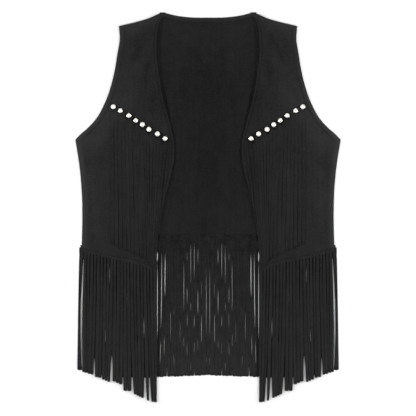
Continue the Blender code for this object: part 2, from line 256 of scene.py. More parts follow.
def smooth_curve(table):
    """The smooth edge through a table's points, as a function of the share of its length, 0 to 1."""
    points = [Vector(point) for point in table]
    run = [0.0]
    for before, after in zip(points, points[1:]):
        run.append(run[-1] + (after - before).length)
    at = [r / run[-1] for r in run]
    slopes = [Vector(slope) for slope in np.gradient(np.array(table), at, axis=0)]

    def place(share):
        i = min(max(bisect_right(at, share) - 1, 0), len(at) - 2)
        wide = at[i + 1] - at[i]
        t = (share - at[i]) / wide
        if t < 0:
            return points[i] + t * wide * slopes[i]
        if t > 1:
            return points[i + 1] + (t - 1) * wide * slopes[i + 1]
        start = (2 * t**3 - 3 * t**2 + 1) * points[i] + (t**3 - 2 * t**2 + t) * wide * slopes[i]
        end = (3 * t**2 - 2 * t**3) * points[i + 1] + (t**3 - t**2) * wide * slopes[i + 1]
        return start + end

    return place


def sampled(edge):
    """Halves and downs of an edge's points."""
    return np.array([edge(t) for t in EDGE_SAMPLES]).T


def read(table, at):
    """A value between those in the second row of a table, whose first row has their places."""
    return float(np.interp(at, *table))


def joined(first, second, split):
    """Two edges that meet at a corner, as one function whose corner is at split."""
    return lambda t: first(t / split) if t < split else second((t - split) / (1 - split))


def ease(distance, over):
    """0 at no distance, 1 at over and further, level at both ends."""
    t = min(max(distance / over, 0.0), 1.0)
    return t * t * (3 - 2 * t)


def fade(distance, over):
    """The other way round: 1 at no distance, 0 at over and further."""
    return 1 - ease(distance, over)


def ridge(distance, width):
    """1 at no distance, and less and less to both sides."""
    return math.exp(-((distance / width) ** 2))


def patch(top, bottom, inner, outer):
    """The cloth between four edges: place(u, v) runs from inner to outer and from top to bottom."""
    corners = top(0), top(1), bottom(0), bottom(1)

    def place(u, v):
        across = (1 - u) * inner(v) + u * outer(v)
        along = (1 - v) * top(u) + v * bottom(u)
        upper = (1 - u) * corners[0] + u * corners[1]
        lower = (1 - u) * corners[2] + u * corners[3]
        return across + along - (1 - v) * upper - v * lower

    return place


def soft_creases(table):
    """What the creases of a table add to the height, as a function of the place. A crease runs turn
    degrees from straight down, outwards, and fades out after its run and to both sides."""
    halves, downs, runs, widths, turns, heights = np.array(table).T
    sines, cosines = np.sin(np.radians(turns)), np.cos(np.radians(turns))

    def height(half, down):
        x, y = half - halves, down - downs
        along = (x * sines + y * cosines) / runs
        aside = (x * cosines - y * sines) / widths
        return float(np.dot(heights, np.exp(-(along**2) - aside**2)))

    return height


def on_vest(x, down, z):
    """A place on the vest in the frame, whose origin is the middle of its length."""
    return Vector((x, LENGTH / 2 - down, z))


def turned_edge():
    """Distances from a turned edge, each with how far the cloth has turned there: 1 is right under."""
    hidden = [(TURNING, 1.0), (TURNING / 2, 1.0), (0.0014, 1.0)]
    bend = []
    for degrees in (-90, -45, 0, 45, 90):
        angle = math.radians(degrees)
        bend.append((CLOTH / 2 + FOLD_RADIUS * (1 - math.cos(angle)), (1 - math.sin(angle)) / 2))
    over_stitches = (0.0018, 0.0027, 0.0035, TOPSTITCH, 0.0053, 0.0064, 0.0076, 0.0088, 0.0100, 0.0112)
    return hidden + bend + [(d, 0.0) for d in over_stitches]


def plain_edge():
    """The same for an edge that only rounds down."""
    return [(d, t) for d, t in turned_edge() if t <= 0.5]


def stations(first, last, length, pitch):
    """Where a grid's lines lie from one edge to the other: share of the way, distance added, and turn."""
    start = [(0.0, d, t) for d, t in first]
    end = [(1.0, -d, t) for d, t in reversed(last)]
    inner_start, inner_end = start[-1][1], end[0][1]
    count = max(2, round((length - inner_start + inner_end) / pitch))
    shares = [i / count for i in range(1, count)]
    middle = [(share, inner_start * (1 - share) + inner_end * share, 0.0) for share in shares]
    return start + middle + end


def lay_cloth(columns, rows, place, height):
    """Cloth as a grid between its cut edges, with the turned edges folded. height gives the middle of the
    cloth and how light it is drawn there, mostly as painted light and shade, at half, down and the
    distances from its four edges."""
    bm = bmesh.new()
    nap = bm.verts.layers.float.new("nap")
    bmesh.ops.create_grid(bm, x_segments=len(columns) - 1, y_segments=len(rows) - 1, size=0.5)
    width_at = [(place(1, row[0]) - place(0, row[0])).length for row in rows]
    length_at = [(place(column[0], 1) - place(column[0], 0)).length for column in columns]
    for v in bm.verts:
        i = round((v.co.x + 0.5) * (len(columns) - 1))
        j = round((0.5 - v.co.y) * (len(rows) - 1))
        u = columns[i][0] + columns[i][1] / width_at[j]
        w = rows[j][0] + rows[j][1] / length_at[i]
        half, down = place(u, w)
        across, along = width_at[j], length_at[i]
        z, v[nap] = height(half, down, u * across, (1 - u) * across, w * along, (1 - w) * along)
        v.co = on_vest(half, down, z - 2 * FOLD_RADIUS * (columns[i][2] + rows[j][2]))
    return bm


def cloth_wall(obj, thickness):
    """Gives an object the thickness of its cloth, half to each side of its mesh."""
    solidify = obj.modifiers.new("cloth", "SOLIDIFY")
    solidify.thickness = thickness
    solidify.offset = 0.0
    return solidify


def smooth_shaded(obj, degrees=50):
    obj.data.shade_smooth()
    obj.data.set_sharp_from_angle(angle=math.radians(degrees))
    return obj


def suede(name, dark, light, sheen, streak_pitch):
    """Brushed cloth: short pile that lies in soft patches and faint streaks. An attribute of the mesh makes
    it
    lighter or darker: mostly painted light and shade on creases, sides, rims and stitches, and partly real
    differences of the pile."""
    material, tree, shader = new_material(
        name,
        Roughness=0.92,
        Specular_IOR_Level=0.10,
        Sheen_Weight=sheen,
        Sheen_Roughness=0.45,
    )
    where = add(tree, "ShaderNodeTexCoord").outputs["Object"]
    # real nap is about 0.3 mm long, which is far under a pixel, so its clumps are drawn 2.6 mm wide. The
    # patches that were stroked one way are 16 mm wide, and the streaks of the brush 110 mm long
    clumps = add(tree, "ShaderNodeTexNoise", {"Vector": where, "Scale": 1 / 0.0026, "Detail": 4.0})
    patches = add(tree, "ShaderNodeTexNoise", {"Vector": where, "Scale": 1 / 0.016, "Detail": 4.0})
    along = add(tree, "ShaderNodeMapping", {"Vector": where, "Scale": (1 / streak_pitch, 1 / 0.110, 1.0)})
    streaks = add(tree, "ShaderNodeTexNoise", {"Vector": along.outputs[0], "Scale": 1.0, "Detail": 3.0})
    nap = add(tree, "ShaderNodeAttribute", attribute_name="nap").outputs["Fac"]
    shade = add(tree, "ShaderNodeMath", {0: nap, 1: EVEN_NAP}, operation="ADD").outputs[0]
    for noise, part in ((clumps, 0.95), (patches, 0.42), (streaks, 0.35)):
        parts = {0: noise.outputs["Fac"], 1: part, 2: shade}
        shade = add(tree, "ShaderNodeMath", parts, operation="MULTIPLY_ADD").outputs[0]
    colour = add(
        tree,
        "ShaderNodeMix",
        {"Factor": shade, 6: linear(dark), 7: linear(light)},
        data_type="RGBA",
        clamp_factor=False,
        clamp_result=True,
    )
    tree.links.new(colour.outputs[2], shader.inputs["Base Color"])
    relief = {"Height": clumps.outputs["Fac"], "Strength": 0.35, "Distance": 0.0005}
    bump = add(tree, "ShaderNodeBump", relief)
    tree.links.new(bump.outputs["Normal"], shader.inputs["Normal"])
    return material


# black microsuede: a matt polyester nap that glows a little at grazing angles
napped_face = suede("brushed_microsuede_face", "#0c0c0c", "#262626", 0.04, 0.0040)
# its back is a plain knit, flatter and darker than the face
knit_back = suede("microsuede_knit_back", "#080808", "#1e1e1e", 0.02, 0.0060)

outer_edge = joined(smooth_curve(ARMHOLE), smooth_curve(SIDE_SEAM), UNDERARM)
shoulder = smooth_curve(SHOULDER)
back_top = joined(smooth_curve(BACK_NECK), shoulder, NECK_SHARE)
back_hem = smooth_curve(BACK_HEM)
centre_line = joined(
    smooth_curve(edge_points((0, CENTRE_TOP), (0, CENTRE_UNDERARM))),
    smooth_curve(edge_points((0, CENTRE_UNDERARM), (0, BACK_HEM[0].down))),
    UNDERARM,
)
OUTER_SAMPLES = sampled(outer_edge)
SHOULDER_SAMPLES = sampled(shoulder)
BACK_HEM_SAMPLES = sampled(back_hem)


def past(band, distance):
    """How much lighter a band of painted light makes the cloth beyond its start."""
    return band.nap * ease(distance - band.start, band.run)


def within(band, distance):
    """The same for a band that reaches from an edge to its start, and fades out there."""
    return band.nap * fade(distance - band.start, band.run)


def back_middle(half, down, from_left, from_right, from_top, from_hem):
    """The back lies bedded on the paper under the fronts, and arches a little off it between them."""
    out = abs(half)
    between = fade(out - ARCH_HALF, ARCH_RUN) * ease(from_top, ARCH_RUN) * ease(from_hem, ARCH_RUN)
    crease = back_crease(out, down)
    # painted shade and light of the creases, and painted shade in the back's middle between the fronts
    nap = PAINTED_CREASE_SHADE * between * crease + past(BACK_SIDES, out) - BACK_SIDES.nap / 2
    nap += within(BACK_UNDER_NECK, from_top)
    nap += past(BACK_LOW, down) * (BACK_LOW_MIDDLE + (1 - BACK_LOW_MIDDLE) * ease(out, ARCH_RUN))
    if from_top < TURNING:
        nap += BACK_TURNING
    nap -= STITCH_SHADE * ridge(from_top - TOPSTITCH, STITCH_DIP_WIDTH)
    return BACK_BEDDED + between * max(BACK_ARCH + crease, 0.0), nap


half_back = patch(back_top, back_hem, centre_line, outer_edge)


def back_place(u, v):
    """The back from one side (-1) over its centre line (0) to the other (1)."""
    half, down = half_back(abs(u), v)
    return Vector((math.copysign(half, u), down))


back_crease = soft_creases(BACK_CREASES)
cut_side = [(0.0, 0.0), (0.0012, 0.0), (0.0030, 0.0)]
cut_hem = [(-BACK_UNDER_STRIP, 0.0), (-BACK_UNDER_STRIP / 2, 0.0), (0.0, 0.0)]
half_columns = stations([(0.0, 0.0)], cut_side, SIDE_SEAM[0].half, BACK_COLUMN_WIDTH)
back_columns = [(-share, -added, turn) for share, added, turn in reversed(half_columns[1:])] + half_columns
# the neck and shoulder edge is turned up, over the inner side, so its turn is counted upwards
turned_up = [(d, -turn) for d, turn in turned_edge()]
back_rows = stations(turned_up, cut_hem, BACK_HEM[0].down, BACK_ROW_HEIGHT)
back_sheet = lay_cloth(back_columns, back_rows, back_place, back_middle)
back_panel = smooth_shaded(laid_object("back_panel_cloth", back_sheet, knit_back, napped_face))
cloth_wall(back_panel, CLOTH).material_offset = 1  # the face, which lies below and shows on the turning
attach(back_panel, "root")
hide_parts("back_panel")


# The two fronts. Each is one piece of the same microsuede, face up, seamed to the back at the shoulder and
# the side. Its free edge and its armhole are turned under and stitched, and below the neck the free edge
# curls down to the back. Soft creases fan out from the chest to the shoulder and down the sides.
FRONT_NECK_EDGE = edge_points(
    (0.0757, 0.0000), (0.0838, 0.0204), (0.0873, 0.0500), (0.0865, 0.0816), (0.0816, 0.1156),
    (0.0758, 0.1496), (0.0663, 0.1836), (0.0577, 0.2230), (0.0571, 0.2346),
)
FRONT_LOWER_EDGE = edge_points(
    (0.0571, 0.2346), (0.0577, 0.2482), (0.0614, 0.2686), (0.0741, 0.3196), (0.0831, 0.3706),
    (0.0868, 0.4040), (0.0877, 0.4352),
)
FRONT_HEM = edge_points((0.0877, 0.4352), (0.1047, 0.4267), (0.1600, 0.4130), (0.2147, 0.3995))
FRONT_GRID = (0.150, 0.420)  # width and height that its columns and rows are counted over
FRONT_COLUMN_WIDTH = 0.0030
FRONT_ROW_HEIGHT = 0.0032
FRONT_BEDDED = 0.0015  # underside of a front along its seams
FRONT_WALL = 0.0012  # from there to the face
FRONT_LOFT = 0.0026
LOFT_RUN = 0.045
EDGE_LOFT = 0.0016
EDGE_RUN = 0.030
LEAST_LOFT = 0.0004
# painted light where the cloth rounds to the side lamps: how much lighter it is drawn down the turned
# armhole and side seam, and in the wide band beside them
PAINTED_LIGHT_BY_TURNING = (
    (0.030, 0.150, 0.190, 0.205, 0.225, 0.250, 0.275, 0.330, 0.410),
    (0.20, 0.15, 0.18, 0.40, 0.52, 0.66, 0.52, 0.44, 0.40),
)
PAINTED_LIGHT_BY_SIDE = (
    (0.050, 0.116, 0.150, 0.177, 0.201, 0.214, 0.230, 0.248, 0.280),
    (0.05, 0.12, 0.35, 0.38, 0.28, 0.38, 0.08, 0.05, 0.00),
)
BY_TURNING = Band(1.0, 0.0050, 0.0080)  # how far the painted light down the turning reaches in from the outer edge
BY_SIDE = Band(1.0, 0.0280, 0.0350)  # and that of the wide band
# painted highlights on the turned rims at the side and at the hem, and painted light by the shoulder
SIDE_RIM = Band(0.20, 0.0022, 0.0030)
HEM_RIM = Band(0.03, 0.0, 0.0060)
BY_SHOULDER = Band(0.45, 0.0, 0.0300)
TO_THE_SIDE = Band(0.10, 0.1350, 0.0550)  # painted light, growing out from the centre line towards the side lamps
# the same painted crease shading on the fronts, three quarters as strong
FRONT_PAINTED_CREASE_SHADE = 0.75 * PAINTED_CREASE_SHADE
ARMHOLE_STITCH = 0.0078  # from the armhole to its row of stitches
ARMHOLE_STITCH_END = (0.2070, 0.0100)  # where it fades out: its distance down, and over how far
# painted shade along the armhole's row of stitches, in the dip that they pull in
ARMHOLE_SHADE = 0.45
ARMHOLE_SHADE_FULL = (0.0900, 0.0500)  # where that shade grows to the full, from a part of it
ARMHOLE_SHADE_PART = 0.3
HEM_LIFT = 0.0006  # the doubled cloth of a turned edge stands this much higher
HEM_LIFT_RUN = 0.0040
SHOULDER_LIFT = 0.0010  # over the back's turned shoulder edge
SHOULDER_LIFT_RUN = 0.0080
EDGE_CURL = 0.0026  # how far the free edge curls down to the back, below the neck
EDGE_CURL_WIDTH = 0.0120
EDGE_CURL_START = 0.0600
EDGE_CURL_RUN = 0.1300
FRONT_CREASES = (
    (0.1165, 0.0590, 0.0250, 0.0052, 24, -0.0016),
    (0.1270, 0.0790, 0.0130, 0.0080, 30, -0.0010),
    (0.1040, 0.1030, 0.0330, 0.0062, 10, -0.0017),
    (0.1130, 0.0840, 0.0160, 0.0060, 60, 0.0011),
    (0.1360, 0.1080, 0.0340, 0.0120, 12, 0.0008),
    (0.0900, 0.1450, 0.0300, 0.0110, 8, -0.0010),
    (0.1400, 0.0480, 0.0240, 0.0060, 30, 0.0009),
    (0.0930, 0.0480, 0.0200, 0.0045, 4, 0.0008),
    (0.1070, 0.0330, 0.0120, 0.0050, 40, 0.0006),
    (0.0800, 0.1600, 0.0220, 0.0120, -10, -0.0012),
    (0.1480, 0.1420, 0.0240, 0.0070, 22, -0.0007),
    (0.1970, 0.2280, 0.0200, 0.0090, 80, 0.0012),
    (0.1930, 0.2560, 0.0220, 0.0100, 65, -0.0012),
    (0.1980, 0.2800, 0.0260, 0.0060, 40, 0.0007),
    (0.1920, 0.3220, 0.0400, 0.0110, 4, 0.0012),
    (0.1780, 0.3400, 0.0340, 0.0070, -6, -0.0007),
    (0.2030, 0.3620, 0.0260, 0.0060, 10, -0.0006),
    (0.1410, 0.3000, 0.0500, 0.0100, 0, -0.0010),
    (0.0900, 0.2420, 0.0280, 0.0130, -4, -0.0009),
    (0.1120, 0.2250, 0.0140, 0.0110, 30, 0.0007),
    (0.1150, 0.3700, 0.0400, 0.0080, 6, 0.0006),
)

front_edge = joined(smooth_curve(FRONT_NECK_EDGE), smooth_curve(FRONT_LOWER_EDGE), UNDERARM)
front_hem = smooth_curve(FRONT_HEM)
FREE_SAMPLES = sampled(front_edge)
FRONT_HEM_SAMPLES = sampled(front_hem)


def half_at(samples, down):
    """How far out a sampled edge is at a distance down."""
    return read(samples[::-1], down)


def front_distances(half, down):
    """From a front's free edge, its outer edge and its shoulder."""
    from_edge, from_side = half - half_at(FREE_SAMPLES, down), half_at(OUTER_SAMPLES, down) - half
    return from_edge, from_side, down - read(SHOULDER_SAMPLES, half)


def front_under(half, down):
    """Height of a front's underside without its turnings."""
    from_edge, from_side, from_shoulder = front_distances(half, down)
    seams = ease(from_side, LOFT_RUN) * ease(from_shoulder, LOFT_RUN)
    loft = FRONT_LOFT + front_crease(half, down) + EDGE_LOFT * fade(from_edge, EDGE_RUN)
    return FRONT_BEDDED + seams * max(loft, LEAST_LOFT)


def front_middle(half, down, from_edge, from_side, from_top, from_hem):
    """The cloth of a front, with its doubled edges raised and a dip along each row of stitches."""
    from_outside = float(np.hypot(OUTER_SAMPLES[0] - half, OUTER_SAMPLES[1] - down).min())
    stitched = ridge(from_edge - TOPSTITCH, STITCH_DIP_WIDTH)
    end, end_run = ARMHOLE_STITCH_END
    armhole = ridge(from_outside - ARMHOLE_STITCH, STITCH_DIP_WIDTH) * fade(down - end, end_run)
    z = front_under(half, down) + FRONT_WALL - CLOTH / 2
    z += HEM_LIFT * fade(min(from_edge, from_side) - TURNING, HEM_LIFT_RUN)
    z += SHOULDER_LIFT * fade(from_top, SHOULDER_LIFT_RUN) - STITCH_DIP * max(stitched, armhole)
    z -= EDGE_CURL * ease(down - EDGE_CURL_START, EDGE_CURL_RUN) * fade(from_edge, EDGE_CURL_WIDTH)
    # painted shade and light of the creases, painted light towards the sides, on the rims and by the
    # shoulder, and painted shade along the stitches
    nap = FRONT_PAINTED_CREASE_SHADE * front_crease(half, down) + past(TO_THE_SIDE, half)
    nap += read(PAINTED_LIGHT_BY_TURNING, down) * within(BY_TURNING, from_side) + within(SIDE_RIM, from_side)
    nap += read(PAINTED_LIGHT_BY_SIDE, down) * within(BY_SIDE, from_side)
    nap += within(HEM_RIM, from_hem) + within(BY_SHOULDER, from_top) - STITCH_SHADE * stitched
    start, run = ARMHOLE_SHADE_FULL
    full = ARMHOLE_SHADE_PART + (1 - ARMHOLE_SHADE_PART) * ease(down - start, run)
    return z, nap - ARMHOLE_SHADE * full * armhole


def both_sides(name, left, material):
    """The piece for each side of the vest, by the side. The right one is the left one's mirror image."""
    right = left.copy()
    bmesh.ops.scale(right, vec=(-1, 1, 1), verts=right.verts)
    bmesh.ops.reverse_faces(right, faces=right.faces)
    meshes = {"right": right, "left": left}
    return {side: smooth_shaded(laid_object(f"{name}_{side}", bm, material)) for side, bm in meshes.items()}


front_crease = soft_creases(FRONT_CREASES)
front_place = patch(shoulder, front_hem, front_edge, outer_edge)
front_columns = stations(turned_edge(), turned_edge(), FRONT_GRID[0], FRONT_COLUMN_WIDTH)
front_rows = stations(plain_edge(), plain_edge(), FRONT_GRID[1], FRONT_ROW_HEIGHT)
front_sheet = lay_cloth(front_columns, front_rows, front_place, front_middle)
fronts = both_sides("front_cloth", front_sheet, napped_face)
for side, front in fronts.items():
    cloth_wall(front, CLOTH)
    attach(front, "root")
    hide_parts(f"front_panel_{side}")


# The painted shadows of the free edges. A narrow strip in the dark knit lies on the back, reaching under
# each free edge, and shows past it as a dark band, widest beside the neck: painted shadow of the raised
# edge.
SHADOW_BAND_CLOTH = 0.0002
SHADOW_BAND_TUCK = 0.0060  # how far it reaches under the front
SHADOW_BAND_ROWS = 90
SHADOW_BAND_COLUMNS = 8
SHADOW_BAND_END = 0.925  # share of the free edge where it stops, at the back's fringe
SHADOW_BAND_SHADE = 0.50  # how much darker it gets away from the front's edge
SHADOW_BAND_SHADE_RUN = 0.0060
SHADOW_BAND_CLEAR = 0.0001  # over the back
# how much lighter the painted shadow is and how far it shows past the front's edge, by the distance down
SHADOW_BAND_LIGHTNESS = (
    (0.000, 0.060, 0.084, 0.116, 0.146, 0.184, 0.250, 0.290, 0.320, 0.400),
    (0.40, 0.45, 0.38, 0.15, -0.05, -0.10, -0.10, 0.10, 0.45, 0.60),
)
SHADOW_BAND_SHOWN = (
    (0.000, 0.030, 0.080, 0.118, 0.146, 0.184, 0.220, 0.270, 0.330, 0.400),
    (0.0035, 0.0080, 0.0072, 0.0046, 0.0062, 0.0034, 0.0028, 0.0036, 0.0042, 0.0048),
)


def back_top_side(half, down):
    """Height of the side of the back that shows, away from its edges."""
    return back_middle(half, down, 0, 0, down - CENTRE_TOP, back_hem_down(half) - down)[0] + CLOTH / 2


def back_hem_down(half):
    return read(BACK_HEM_SAMPLES, abs(half))


shadow_band_sheet = bmesh.new()
shadow_band_shading = shadow_band_sheet.verts.layers.float.new("nap")
bmesh.ops.create_grid(shadow_band_sheet, x_segments=SHADOW_BAND_COLUMNS, y_segments=SHADOW_BAND_ROWS, size=0.5)
for v in shadow_band_sheet.verts:
    half, down = front_edge(SHADOW_BAND_END * (0.5 - v.co.y))
    across = (0.5 - v.co.x) * (SHADOW_BAND_TUCK + read(SHADOW_BAND_SHOWN, down)) - SHADOW_BAND_TUCK
    v[shadow_band_shading] = read(SHADOW_BAND_LIGHTNESS, down) - SHADOW_BAND_SHADE * ease(across, SHADOW_BAND_SHADE_RUN)
    z = back_top_side(half - across, down) + SHADOW_BAND_CLEAR + SHADOW_BAND_CLOTH / 2
    v.co = on_vest(half - across, down, z)
shadow_bands = both_sides("painted_shadow_band", shadow_band_sheet, knit_back)
for shadow_band in shadow_bands.values():
    cloth_wall(shadow_band, SHADOW_BAND_CLOTH)
    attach(shadow_band, "root")


# The slit fringe. Strips of microsuede are cut into strands and sewn along the hem, one across the back
# and one along each front, and two shorter ones hang from the chest. Cut strands overlap their neighbours,
# roll a little at their edges and hang in bunches, and the paper shows where two of them part.
STRAND_CLOTH = 0.0006
STRAND_COLUMNS = 4
STRIP_ROWS = 8
OVERLAP = 0.0004  # of a strand over its neighbour where the slit is shut
UPPER_LIFT = 0.00065  # how far every second strand of a front lies over its neighbours
LEAST_LIFT = 0.00012  # the same on the back and the chest, where they lie side by side
UPPER_LIFT_RUN = 0.10  # share of a strand's length over which it gets there
SHUT = -0.0001  # width of a shut slit, whose strands lie over each other
OPENING_BLUNT = 0.4  # the lower, the blunter are the ends of a slit's opening
CROWN = 0.00035  # how far the middle of a strand stands above its edges
WAVE = 0.0003
STRAND_NAP = 0.07  # how much a strand's nap differs from its neighbours'
# painted shade along each strand's rolled edges, where it meets its neighbours
STRAND_EDGE_SHADE = 0.08
SWAY = 0.0009  # how far bunches of strands hang to a side, of which the three fringes have these parts
BACK_SWAY = 0.5
FRONT_SWAY = 0.4
CHEST_SWAY = 0.3
SWAY_EVERY = 6.7  # strands from one bunch to the next
TIP_ROUND = 0.0012
TIP_UNEVEN = (-0.0009, 0.0004)  # how far the back's tips are cut off the line
STRAND_ROWS = 34
BACK_STRANDS = 75
BACK_STRIP_DEPTH = 0.0136
BACK_ROOT_HALF = 0.2187  # outer edge of the outermost strand, at its root and at its tip
BACK_TIP_HALF = 0.2222
BACK_FRINGE_CLEAR = 0.0001
BACK_FAN_POWER = 0.75  # strands fan out mostly near their roots
BACK_FRINGE_NAP = -0.27
BACK_ROOT_NAP = (0.08, 0.12)  # lighter below the strip, and over what share of the strands
BACK_TIP_NAP = 0.36  # lighter at the tips
BACK_STEP_RUN = 0.0040  # over which the strip comes down to the paper
EDGE_SHADE = 0.5  # the strand beside a front's edge lies in its shade
SHADED_HALF = 0.0843
SHADED_WIDTH = 0.0014
BACK_TIPS = edge_points(
    (0.0000, 0.6166), (0.0350, 0.6184), (0.0765, 0.6198), (0.1700, 0.6190), (0.2090, 0.6110),
    (0.2222, 0.6030),
)
# slits of the back fringe between the fronts, from the middle out, and how far some stray outwards
BACK_SLITS = (
    0.0030, 0.0111, 0.0171, 0.0234, 0.0293, 0.0356, 0.0411, 0.0475, 0.0533, 0.0581, 0.0635, 0.0688,
    0.0729, 0.0785, 0.0859,
)
STRAYING_SLITS = {11: 0.0010, 12: 0.0026, 13: 0.0038}
# the outermost slit of the back and of the fronts bows outwards: shares of its length, and its places
BOWED_SLIT = ((0.00, 0.08, 0.41, 0.67, 1.00), (0.2112, 0.2121, 0.2148, 0.2155, 0.2138))
# slits that open at the tips, under a gap in the front fringe, and their places there
SLITS_UNDER_GAPS = {22: 0.1446, 27: 0.1642, 32: 0.1936}
# where slits stand open, by their number from the middle out: from and to a distance down, and how wide
BACK_OPENINGS = {
    0: ((0.4350, 0.5530, 0.00077), (0.5830, 0.5980, 0.00058)),
    1: ((0.4550, 0.4850, 0.00052), (0.5130, 0.5640, 0.00085)),
    2: ((0.4000, 0.4260, 0.00074), (0.4700, 0.5130, 0.00093), (0.5550, 0.5750, 0.00054)),
    3: (
        (0.3900, 0.4520, 0.00078), (0.5130, 0.5360, 0.00071),
        (0.5600, 0.5800, 0.00054), (0.6050, 0.6450, 0.00086),
    ),
    4: ((0.3940, 0.4600, 0.00076), (0.4910, 0.5090, 0.00062), (0.5950, 0.6100, 0.00059)),
    5: (
        (0.4070, 0.4240, 0.00062), (0.4650, 0.4940, 0.00076),
        (0.5100, 0.5350, 0.00069), (0.5600, 0.5850, 0.00059),
    ),
    6: ((0.4210, 0.5090, 0.00074), (0.5450, 0.5700, 0.00059), (0.6080, 0.6450, 0.00040)),
    7: ((0.5230, 0.5640, 0.00053),),
    9: ((0.5030, 0.5160, 0.00044), (0.5800, 0.6000, 0.00059)),
    10: ((0.5050, 0.5600, 0.00062),),
    11: ((0.4190, 0.4740, 0.00026), (0.6040, 0.6450, 0.00091)),
    12: ((0.4100, 0.4840, 0.00123), (0.5490, 0.5830, 0.00083)),
    13: ((0.4100, 0.5370, 0.00116), (0.5590, 0.5960, 0.00085)),
    14: ((0.4060, 0.4250, 0.00189), (0.4280, 0.5540, 0.00129)),
    18: ((0.5200, 0.5560, 0.00208),),
    20: ((0.5480, 0.5620, 0.00208),),
    22: ((0.6030, 0.6450, 0.00200),),
    23: ((0.4780, 0.4960, 0.00100),),
    27: ((0.5850, 0.6600, 0.00410),),
    28: ((0.4300, 0.4600, 0.00160),),
    29: ((0.5370, 0.5620, 0.00140),),
    32: ((0.5890, 0.6600, 0.00280),),
    36: ((0.4180, 0.6060, 0.00300),),
}


def opened(openings, slit, down):
    """How wide a slit stands open at a distance down: widest midway in an opening, and shut elsewhere."""
    widest = SHUT
    for start, end, width in openings.get(slit, ()):
        if start < down < end:
            along = (down - start) / (end - start)
            widest = max(widest, width * math.sin(math.pi * along) ** OPENING_BLUNT)
    return widest


def slit_sheet(tips, strip_top, strip_depth, slit_place, opening, height, lift, relief, middle=0):
    """A strip with its strands. A grid is laid out strand by strand, and its narrow columns between two
    strands are cut out below the strip, as the slits are.

    tips are the distances down of the strands' ends, and strip_top gives that of the strip at x. slit_place
    gives x of a slit at a share of the strand's length, opening its width there, and height the underside
    and how light it is drawn, mostly as painted light and shade. lift is how far every second strand lies
    above the others, relief how much they roll.
    middle is the strand that they are counted from."""
    bm = bmesh.new()
    nap = bm.verts.layers.float.new("nap")
    step = STRAND_COLUMNS + 1
    columns, all_rows = len(tips) * step - 1, STRIP_ROWS + STRAND_ROWS
    bmesh.ops.create_grid(bm, x_segments=columns, y_segments=all_rows, size=0.5)
    slits = []
    for face in bm.faces:
        place = face.calc_center_median()
        column = int((place.x + 0.5) * columns)
        row = int((0.5 - place.y) * all_rows)
        if column % step == STRAND_COLUMNS and row >= STRIP_ROWS:
            slits.append(face)
    edges = [(slit_place(strand, 0), slit_place(strand + 1, 0)) for strand in range(len(tips))]
    roots = [strip_top((first + second) / 2) + strip_depth for first, second in edges]
    widths = [second - first for first, second in edges]
    for v in bm.verts:
        strand, across = divmod(round((v.co.x + 0.5) * columns), step)
        row = round((0.5 - v.co.y) * all_rows)
        t = 2 * across / STRAND_COLUMNS - 1
        number = abs(strand - middle)
        share = max(row - STRIP_ROWS, 0) / STRAND_ROWS
        down = roots[strand] + share * (tips[strand] - roots[strand])
        first = slit_place(strand, share) + opening(strand, share, down) / 2
        second = slit_place(strand + 1, share) - opening(strand + 1, share, down) / 2
        x = first + (second - first) * (t + 1) / 2
        if row < STRIP_ROWS:
            down = strip_top(x) + row / STRIP_ROWS * strip_depth
        if row == all_rows:
            down -= TIP_ROUND * t * t
        z, v[nap] = height(x, down, share)
        settled = ease(share, UPPER_LIFT_RUN)
        squeezed = math.sqrt(max(widths[strand] ** 2 - (second - first) ** 2, 0.0)) / 2
        lean = relief * (0.25 * math.sin(2.3 * number + 5 * share) + 0.12) * squeezed
        roll = relief * CROWN * (1 - t * t) * (0.6 + 0.8 * math.sin(1.7 * number + 3 * share))
        wave = relief * WAVE * (1 + math.sin(1.3 * number + 9 * share))
        z += settled * (lift * (number % 2) + abs(lean) + t * lean + roll + wave)
        v.co = on_vest(x, down, z + STRAND_CLOTH / 2)
        own_nap = STRAND_NAP * (math.sin(2.7 * number) + math.sin(4.1 * number + 4 * share))
        v[nap] += relief * settled * (own_nap - STRAND_EDGE_SHADE * t * t)
    bmesh.ops.delete(bm, geom=slits, context="FACES")
    return bm


def sway(number):
    return SWAY * math.sin(2 * math.pi * number / SWAY_EVERY + 0.6)


def back_slit(index, share):
    """x of the back fringe's slit, counted from its -X end. Between the fronts each has its own place."""
    from_middle = index - BACK_STRANDS / 2
    number = round(abs(from_middle) - 0.5)
    if number < len(BACK_SLITS):
        half = BACK_SLITS[number] + STRAYING_SLITS.get(number, 0.0) * share**2
    elif number == BACK_STRANDS // 2 - 1:
        half = read(BOWED_SLIT, share)
    else:
        beyond = (number - len(BACK_SLITS) + 1) / (BACK_STRANDS // 2 - len(BACK_SLITS) + 1)
        root = BACK_SLITS[-1] + beyond * (BACK_ROOT_HALF - BACK_SLITS[-1])
        tip = BACK_SLITS[-1] + beyond * (BACK_TIP_HALF - BACK_SLITS[-1])
        if number in SLITS_UNDER_GAPS:
            half = root + (SLITS_UNDER_GAPS[number] - root) * share
        else:
            bunched = BACK_SWAY * sway(number) * share**1.5 * (1 - beyond**4)
            half = root + (tip - root) * share**BACK_FAN_POWER + bunched
    return math.copysign(half, from_middle)


def back_opening(index, share, down):
    if index in (0, BACK_STRANDS):
        return 0.0
    number = round(abs(index - BACK_STRANDS / 2) - 0.5)
    return opened(BACK_OPENINGS, number, down)


back_tips = smooth_curve(BACK_TIPS)
BACK_TIP_SAMPLES = sampled(back_tips)
tip_luck = random.Random(11)
BACK_TIP_CHANGE = [tip_luck.uniform(*TIP_UNEVEN) for _ in range(BACK_STRANDS // 2 + 1)]


def back_tip_down(strand):
    middle = abs(back_slit(strand, 0) + back_slit(strand + 1, 0)) / 2
    change = BACK_TIP_CHANGE[abs(strand - BACK_STRANDS // 2)]
    return read(BACK_TIP_SAMPLES, middle) + change


